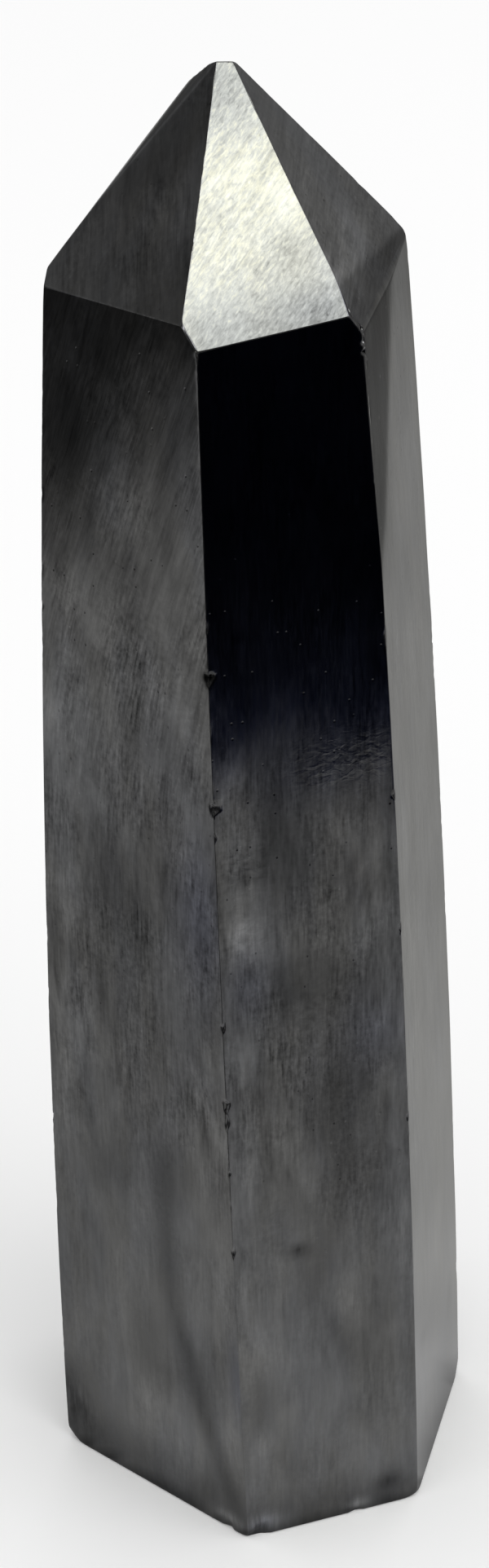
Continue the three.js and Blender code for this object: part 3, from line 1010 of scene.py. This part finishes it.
def glow_finish(name):
    """Light given off as the mesh's own glow attribute says."""
    g = Graph(name)
    glow = g.node("ShaderNodeAttribute", {"attribute_name": "glow"})
    light = g.node("ShaderNodeEmission", {}, {"Color": glow, "Strength": 1.0})
    g.node("ShaderNodeOutputMaterial", {}, {"Surface": light})
    g.material.cycles.emission_sampling = "NONE"
    return g.material


def linked(name, mesh, material):
    """A new object in the scene that wears one material."""
    thing = bpy.data.objects.new(name, mesh)
    bpy.context.scene.collection.objects.link(thing)
    mesh.materials.append(material)
    return thing


def centre_shift(points):
    """The move that puts the stone in the middle of its box in the frame."""
    low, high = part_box("tower")
    raw = (points.reshape(-1, 3).min(0) + points.reshape(-1, 3).max(0)) / 2
    return np.array([(low.x + high.x) / 2 / MM - raw[0], (low.y + high.y) / 2 / MM - raw[1], 0.0])


def sheet_mesh(name, radius, angle, level, glow):
    """A polar sheet: rings of radius times columns of angle, lit by a glow in each point."""
    r, a = np.meshgrid(radius, angle, indexing="ij")
    points = np.stack([r * np.cos(a), r * np.sin(a), np.full_like(r, level)], -1)
    return strip_mesh(name, points, glow(points))


def strip_mesh(name, points, glow):
    """Rows of points that close round on themselves, with a colour attribute called glow."""
    quads = ring_quads(*points.shape[:2])[0]
    inward = np.roll(quads[:, ::-1], 1, axis=1)
    mesh = bpy.data.meshes.new(name)
    mesh.from_pydata((points.reshape(-1, 3) * MM).tolist(), [], inward.tolist())
    attribute = mesh.attributes.new("glow", "FLOAT_COLOR", "POINT")
    colours = np.insert(glow.reshape(-1, 3), 3, 1.0, axis=1)
    attribute.data.foreach_set("color", colours.astype(np.float32).ravel())
    return mesh


def away(bearing, middle):
    """The turn from one bearing to another, between -180 and 180."""
    return (bearing - middle + 180) % 360 - 180


def toward(bearing, part):
    """How far a bearing lies in a part: one over most of it, falling as a bell of the fourth power."""
    middle, spread = part
    return np.exp(-((away(bearing, middle) / spread) ** 4))


def base_gap(points):
    """How far outside the stone's base a point of the table lies."""
    gaps = []
    for side in SIDES:
        c, s = bearing_axis(side.bearing)
        gaps.append(points[..., 0] * c + points[..., 1] * s - side.base)
    return np.maximum(np.array(gaps).max(0), 0)


def table_glow(points):
    """What the stone mirrors of the table: light near it, black in front, dim at the far sides.

    The light falls off with distance in a slow bell and is mottled by a sum of cosines. Each dark
    part is a product of a bell in the bearing and a step in the distance, one of them a painted
    shadow, and the stone's own shade is a step in the distance to its base.
    """
    x, y = points[..., 0], points[..., 1]
    distance = np.hypot(x, y)
    bearing = np.degrees(np.arctan2(y, x))
    front, left, right = (toward(bearing, part) for part in (FRONT_PART, LEFT_PART, RIGHT_PART))
    mottle = 1 + TABLE_MOTTLE * (1 - 0.8 * right) * waves(points, 41, 24, 9.0, 46.0)
    near = (1 - 0.7 * right) * np.exp(-((distance / TABLE_NEAR) ** 2))
    glow = (TABLE_LIGHT + TABLE_LIGHT_NEAR * near) * mottle
    glow = glow + 0.14 * left * np.exp(-(((distance - 122) / 34) ** 2))
    glow = glow * (1 + 0.47 * right + 0.20 * front + 0.11 * left)
    near_right = toward(bearing, NEAR_RIGHT_PART)
    gap = base_gap(points) * (1 + near_right)
    shade = 0.75 - 0.30 * smooth_step(gap, 0.05, 0.5) - 0.45 * smooth_step(gap, 0.3, 4.6)
    glow = glow * (1 - shade * (1 - 0.4 * near_right))
    reach = distance + 2.0 * waves(points, 43, 10, 12.0, 40.0)
    black = front * smooth_step(reach + 0.10 * (x - 40), *BLACK_START)
    far_left = np.clip((reach + 1.5 * (y - 19) - 150) / 62, 0, 1)
    dim = 0.86 * toward(bearing, FAR_LEFT_PART) * (1 - (1 - far_left) ** 1.6)
    far_right = 0.45 * right * smooth_step(reach, 150, 215)
    beyond = smooth_step(bearing, 38.3, 36.3) * smooth_step(bearing, 10, 24)
    beyond = 0.62 * beyond * smooth_step(distance, 118, 140) * smooth_step(distance, 270, 205)
    # Painted shadow: a dark wedge on the mirrored table at bearing -128, beyond 36 mm.
    shadow_wedge = 0.8 * toward(bearing, SHADOW_WEDGE_PART) * smooth_step(distance, 36, 62)
    glow = glow * (1 - dim) * (1 - far_right) * (1 - beyond) * (1 - shadow_wedge)
    pale = glow[..., None] * (1 - right[..., None] * np.array([0.0, 0.004, 0.03]))
    rim = np.exp(-(((distance - BLACK_RIM[0]) / BLACK_RIM[1]) ** 2))
    deep = np.array(BLACK_TONE) * (1 + 10 * rim)[..., None]
    return pale * (1 - black)[..., None] + deep * black[..., None]


def patch(direction, bearing, height, half_width, half_height, soft):
    """A soft-edged rectangle of light in the sky: the product of two steps of the angles."""
    turn = np.abs(away(np.degrees(np.arctan2(direction[..., 1], direction[..., 0])), bearing))
    rise = np.abs(np.degrees(np.arcsin(np.clip(direction[..., 2], -1, 1))) - height)
    across = 1 - smooth_step(turn, half_width - soft, half_width + soft)
    return across * (1 - smooth_step(rise, half_height - soft, half_height + soft))


def tent_glow(direction):
    """What the stone mirrors of the room: dim walls, one bright panel up in front, a pale right."""
    walls = WALLS + 0.05 * waves(direction, 47, 12, 0.3, 1.2)
    pale = 0.05 * patch(direction, *LOW_PALE) + 0.23 * patch(direction, *HIGH_PALE)
    pale = pale + 0.10 * patch(direction, *LEFT_PALE)
    panel = 5.6 * patch(direction, *PANEL)
    rims = 5.0 * patch(direction, *LEFT_RIM) + 4.0 * patch(direction, *RIGHT_RIM)
    ceiling = 3.2 * smooth_step(direction[..., 2], 0.80, 0.90)
    glow = walls + pale + rims
    bright = np.maximum(panel, ceiling * (1 - patch(direction, *PANEL_SURROUND)))
    return glow[..., None] * np.ones(3) + bright[..., None] * np.array(PANEL_TINT)


def only_mirrored(thing):
    """The thing is seen in reflections, and neither by the camera nor as light or shadow."""
    thing.visible_camera = False
    thing.visible_diffuse = False
    thing.visible_shadow = False
    thing.visible_transmission = False
    thing.visible_volume_scatter = False


class TowerSettings(bpy.types.PropertyGroup):
    """How sharp the stone's edges are and how even its faces."""

    long_edge: bpy.props.FloatProperty(
        name="Long edges", description="How far the long edges are eased back from sharp",
        default=0.000014, unit="LENGTH", precision=5)
    tip_edge: bpy.props.FloatProperty(
        name="Tip edges", description="How far the edges of the point are eased",
        default=0.00001, unit="LENGTH", precision=5)
    shoulder: bpy.props.FloatProperty(
        name="Shoulder", description="How far the edges between sides and point are eased",
        default=0.000009, unit="LENGTH", precision=5)
    corner_wear: bpy.props.FloatProperty(
        name="Corner wear", description="Share of the shoulder corners' own extra easing",
        default=1.0, min=0.0)
    flats: bpy.props.FloatProperty(
        name="Small flats", description="How softly the two small flats run into each other",
        default=0.00003, unit="LENGTH", precision=5)
    flat_edge: bpy.props.FloatProperty(
        name="Flat borders", description="How softly the small flats end",
        default=0.000007, unit="LENGTH", precision=6)
    top: bpy.props.FloatProperty(
        name="Top", description="How far the rim of the blunt top is eased",
        default=0.00002, unit="LENGTH", precision=5)
    base_edge: bpy.props.FloatProperty(
        name="Base edge", description="How far the edge round the base is eased",
        default=0.00006, unit="LENGTH", precision=5)
    swell: bpy.props.FloatProperty(
        name="Swell", description="Height of the faint waves that hand polishing leaves",
        default=0.000009, unit="LENGTH", precision=6)
    nibble: bpy.props.FloatProperty(
        name="Nibble", description="Depth of the small wear along the edges",
        default=0.00002, unit="LENGTH", precision=5)
    rows: bpy.props.IntProperty(
        name="Rows", description="Rows of points between the base and the shoulder", default=330, min=60)


class FinishSettings(bpy.types.PropertyGroup):
    """The look of the polished surface."""

    cool_tone: bpy.props.FloatVectorProperty(
        name="Cool grey", description="Colour of the stone's cooler parts",
        default=(0.155, 0.1565, 0.160), subtype="COLOR", size=3)
    warm_tone: bpy.props.FloatVectorProperty(
        name="Warm grey", description="Colour of the stone's warmer parts",
        default=(0.160, 0.159, 0.156), subtype="COLOR", size=3)
    blue_tone: bpy.props.FloatVectorProperty(
        name="Blue grey", description="Colour of the bluish marks",
        default=(0.145, 0.150, 0.176), subtype="COLOR", size=3)
    # Painted highlight: the warmer grey of the lit lapping strokes.
    painted_highlight_tone: bpy.props.FloatVectorProperty(
        name="Lapped grey", description="Colour of the lit strokes of the coarsely lapped facets",
        default=(0.163, 0.160, 0.147), subtype="COLOR", size=3)
    roughness: bpy.props.FloatProperty(
        name="Roughness", description="Mean roughness of the polish", default=0.10, min=0.0, max=1.0)
    clouds: bpy.props.FloatProperty(
        name="Clouds", description="Contrast of the broad clouding", default=1.4)
    streaks: bpy.props.FloatProperty(
        name="Streaks", description="Contrast of the long soft streaks", default=1.45)
    strokes: bpy.props.FloatProperty(
        name="Strokes", description="Contrast of the short lapping strokes", default=1.2)
    grain: bpy.props.FloatProperty(
        name="Grain", description="Contrast of the fine grain", default=0.9)
    brush: bpy.props.FloatProperty(
        name="Brushing", description="Contrast of the coarse lapping of the point", default=1.2)
    scratches: bpy.props.FloatProperty(
        name="Scratches", description="Darkness of the fine scratches", default=0.22)
    pits: bpy.props.FloatProperty(
        name="Pits", description="Darkness of the tiny pits", default=0.4)
    flecks: bpy.props.FloatProperty(
        name="Flecks", description="Brightness of the tiny flecks", default=0.35)
    # Painted shading: the ripples' contrast put into the colour.
    ripples: bpy.props.FloatProperty(
        name="Ripples", description="Contrast of the small ripples", default=0.9)
    ripple_depth: bpy.props.FloatProperty(
        name="Ripple depth", description="Height of the small ripples", default=0.000008,
        unit="LENGTH", precision=6)
    streak_depth: bpy.props.FloatProperty(
        name="Streak depth", description="Height of the long streaks", default=0.000003,
        unit="LENGTH", precision=6)
    stroke_depth: bpy.props.FloatProperty(
        name="Stroke depth", description="Height of the lapping strokes", default=0.000001,
        unit="LENGTH", precision=6)
    pit_depth: bpy.props.FloatProperty(
        name="Pit depth", description="Depth of the tiny pits", default=0.000006,
        unit="LENGTH", precision=6)


class StageSettings(bpy.types.PropertyGroup):
    """The floor and the lights."""

    floor_tone: bpy.props.FloatVectorProperty(
        name="Floor", description="Colour of the floor", default=(0.9, 0.9, 0.9), subtype="COLOR", size=3)
    sky: bpy.props.FloatProperty(
        name="Sky", description="Strength of the even light from all round", default=1.0)
    key: bpy.props.FloatProperty(
        name="Key light", description="Power of the large soft light", default=0.9, unit="POWER")


class HEMATITE_OT_tower(bpy.types.Operator):
    """Make the stone: its eased and weathered surface and its polished finish"""

    bl_idname = "hematite.tower"
    bl_label = "Hematite tower"

    def execute(self, context):
        eases = context.scene.hematite_tower
        surface, ray, section, side, share = tower_grid(eases, eases.rows)
        points = weathered(surface, ray, section, share, eases)
        made = closed_grid_mesh("tower_surface", points, np.zeros(3), points[-1].mean(0))
        mesh, vertices, loops, sizes, face_row, face_column = made
        on_tip = np.repeat(section[face_row] >= 2, sizes)
        loop_side = np.repeat(side[face_column], sizes)
        corners = vertices[loops][:, None]
        for name, lines in (("face", False), ("lines", True)):
            layer = mesh.uv_layers.new(name=name)
            uv = facet_coordinates(corners, loop_side, on_tip, lines)
            layer.data.foreach_set("uv", uv.astype(np.float32).ravel())
        tip_row = section[:, None] >= 2
        where = (points, side, 2 * share - 1, tip_row)
        qualities = {
            "tone": mark_bells(*where, MARKS_AND_PAINTED_LIGHT, "tone"),
            "blue": mark_bells(*where, MARKS_AND_PAINTED_LIGHT, "blue"),
            "uneven": mark_bells(*where, RIPPLES, "tone"),
            "fine": fine_texture(points, tip_row, side),
            "brushed": tip_brushing(points, tip_row, side),
        }
        for name, values in qualities.items():
            attribute = mesh.attributes.new(name, "FLOAT", "POINT")
            with_poles = np.append(values.ravel(), [0.0, 0.0]).astype(np.float32)
            attribute.data.foreach_set("value", with_poles)
        shift = centre_shift(points)
        mesh.transform(Matrix.Translation(shift * MM))
        stone = linked("hematite_tower", mesh, hematite_finish(context.scene.hematite_finish))
        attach(stone, "root")
        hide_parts("tower")
        context.scene["stone_shift"] = shift.tolist()
        return {"FINISHED"}


class HEMATITE_OT_stage(bpy.types.Operator):
    """Make the floor, the lights, what the stone mirrors, and the camera"""

    bl_idname = "hematite.stage"
    bl_label = "Studio stage"

    def execute(self, context):
        scene = context.scene
        settings = scene.hematite_stage
        ring = np.linspace(0, 2 * np.pi, 97)[:-1]
        floor_mesh = sheet_mesh(
            "floor", np.array([0.001, 40, 200, 1000, 6000]), ring, FLOOR_LEVEL, np.zeros_like
        )
        floor = linked("floor", floor_mesh, plain_finish("pale floor", settings.floor_tone, 0.9))
        floor.visible_glossy = False

        glow = glow_finish("mirrored light")
        radius = np.concatenate([[0.001], np.linspace(10, 30, 21), np.geomspace(32, ROOM_RADIUS, 90)])
        around = np.linspace(0, 2 * np.pi, 361)[:-1]
        table_mesh = sheet_mesh("mirrored_table", radius, around, TABLE_LEVEL, table_glow)
        table = linked("mirrored_table", table_mesh, glow)
        only_mirrored(table)

        height = np.radians(np.linspace(-5, 89.9, 120))[:, None]
        level_part = np.cos(height)
        direction = np.stack(
            [level_part * np.cos(around), level_part * np.sin(around), np.sin(height) + 0 * around], -1
        )
        tent_mesh = strip_mesh("mirrored_room", direction * ROOM_RADIUS, tent_glow(direction))
        tent = linked("mirrored_room", tent_mesh, glow)
        only_mirrored(tent)

        world = bpy.data.worlds.new("soft sky")
        scene.world = world
        world.use_nodes = True
        background = world.node_tree.nodes["Background"]
        background.inputs["Color"].default_value = (1.0, 1.0, 1.0, 1.0)
        background.inputs["Strength"].default_value = settings.sky

        light = bpy.data.lights.new("key", "AREA")
        light.shape = "RECTANGLE"
        light.size, light.size_y = KEY_SIZE
        light.energy = settings.key
        key = bpy.data.objects.new("key", light)
        scene.collection.objects.link(key)
        back = np.array(KEY_PLACE) / np.linalg.norm(KEY_PLACE)
        right = np.cross([0, 0, 1], back)
        right /= np.linalg.norm(right)
        key.matrix_world = placement(right, np.cross(back, right), back, KEY_PLACE)
        key.visible_glossy = False

        scene.view_settings.view_transform = "Standard"
        make_camera(scene)
        return {"FINISHED"}


def placement(right, up, back, place):
    """The matrix of a thing whose own axes point right, up and back, at a place in metres."""
    return Matrix(np.vstack([np.column_stack([right, up, back, place]), [0, 0, 0, 1]]))


def make_camera(scene):
    """The camera of the photograph: a bearing and a height round a point of the axis, and a roll."""
    bearing, height, roll = np.radians([VIEW_BEARING, VIEW_HEIGHT, VIEW_ROLL])
    back = np.array([np.sin(bearing) * np.cos(height), -np.cos(bearing) * np.cos(height), np.sin(height)])
    level = np.array([np.cos(bearing), np.sin(bearing), 0.0])
    upright = np.cross(back, level)
    right = np.cos(roll) * level + np.sin(roll) * upright
    up = np.cross(back, right)
    target = VIEW_TARGET[0] * level + np.array([0.0, 0.0, VIEW_TARGET[1]])
    target = target + np.array(scene["stone_shift"])
    place = (target + VIEW_DISTANCE * back) * MM
    camera = bpy.data.objects.new("camera", bpy.data.cameras.new("camera"))
    scene.collection.objects.link(camera)
    camera.data.sensor_width = SENSOR
    camera.data.lens = SENSOR * FOCAL_PIXELS / max(PHOTO_SIZE)
    camera.data.clip_start = 0.01
    camera.data.clip_end = 50.0
    camera.matrix_world = placement(right, up, back, place)
    scene.camera = camera


class HEMATITE_PT_panel(bpy.types.Panel):
    """Lists the pieces of the tower and its settings"""

    bl_idname = "HEMATITE_PT_panel"
    bl_label = "Hematite Tower"
    bl_space_type = "VIEW_3D"
    bl_region_type = "UI"
    bl_category = "Hematite"

    def draw(self, context):
        layout = self.layout
        groups = (
            (HEMATITE_OT_tower, (context.scene.hematite_tower, context.scene.hematite_finish)),
            (HEMATITE_OT_stage, (context.scene.hematite_stage,)),
        )
        for operator, settings in groups:
            box = layout.box()
            box.operator(operator.bl_idname)
            for group in settings:
                for name in group.__annotations__:
                    box.prop(group, name)


CLASSES = (
    TowerSettings, FinishSettings, StageSettings, HEMATITE_OT_tower, HEMATITE_OT_stage, HEMATITE_PT_panel,
)


def register():
    for cls in CLASSES:
        bpy.utils.register_class(cls)
    bpy.types.Scene.hematite_tower = bpy.props.PointerProperty(type=TowerSettings)
    bpy.types.Scene.hematite_finish = bpy.props.PointerProperty(type=FinishSettings)
    bpy.types.Scene.hematite_stage = bpy.props.PointerProperty(type=StageSettings)


def unregister():
    del bpy.types.Scene.hematite_stage
    del bpy.types.Scene.hematite_finish
    del bpy.types.Scene.hematite_tower
    for cls in reversed(CLASSES):
        bpy.utils.unregister_class(cls)


def main():
    """Makes everything in order."""
    register()
    bpy.ops.hematite.tower()
    bpy.ops.hematite.stage()


if __name__ == "__main__":
    main()
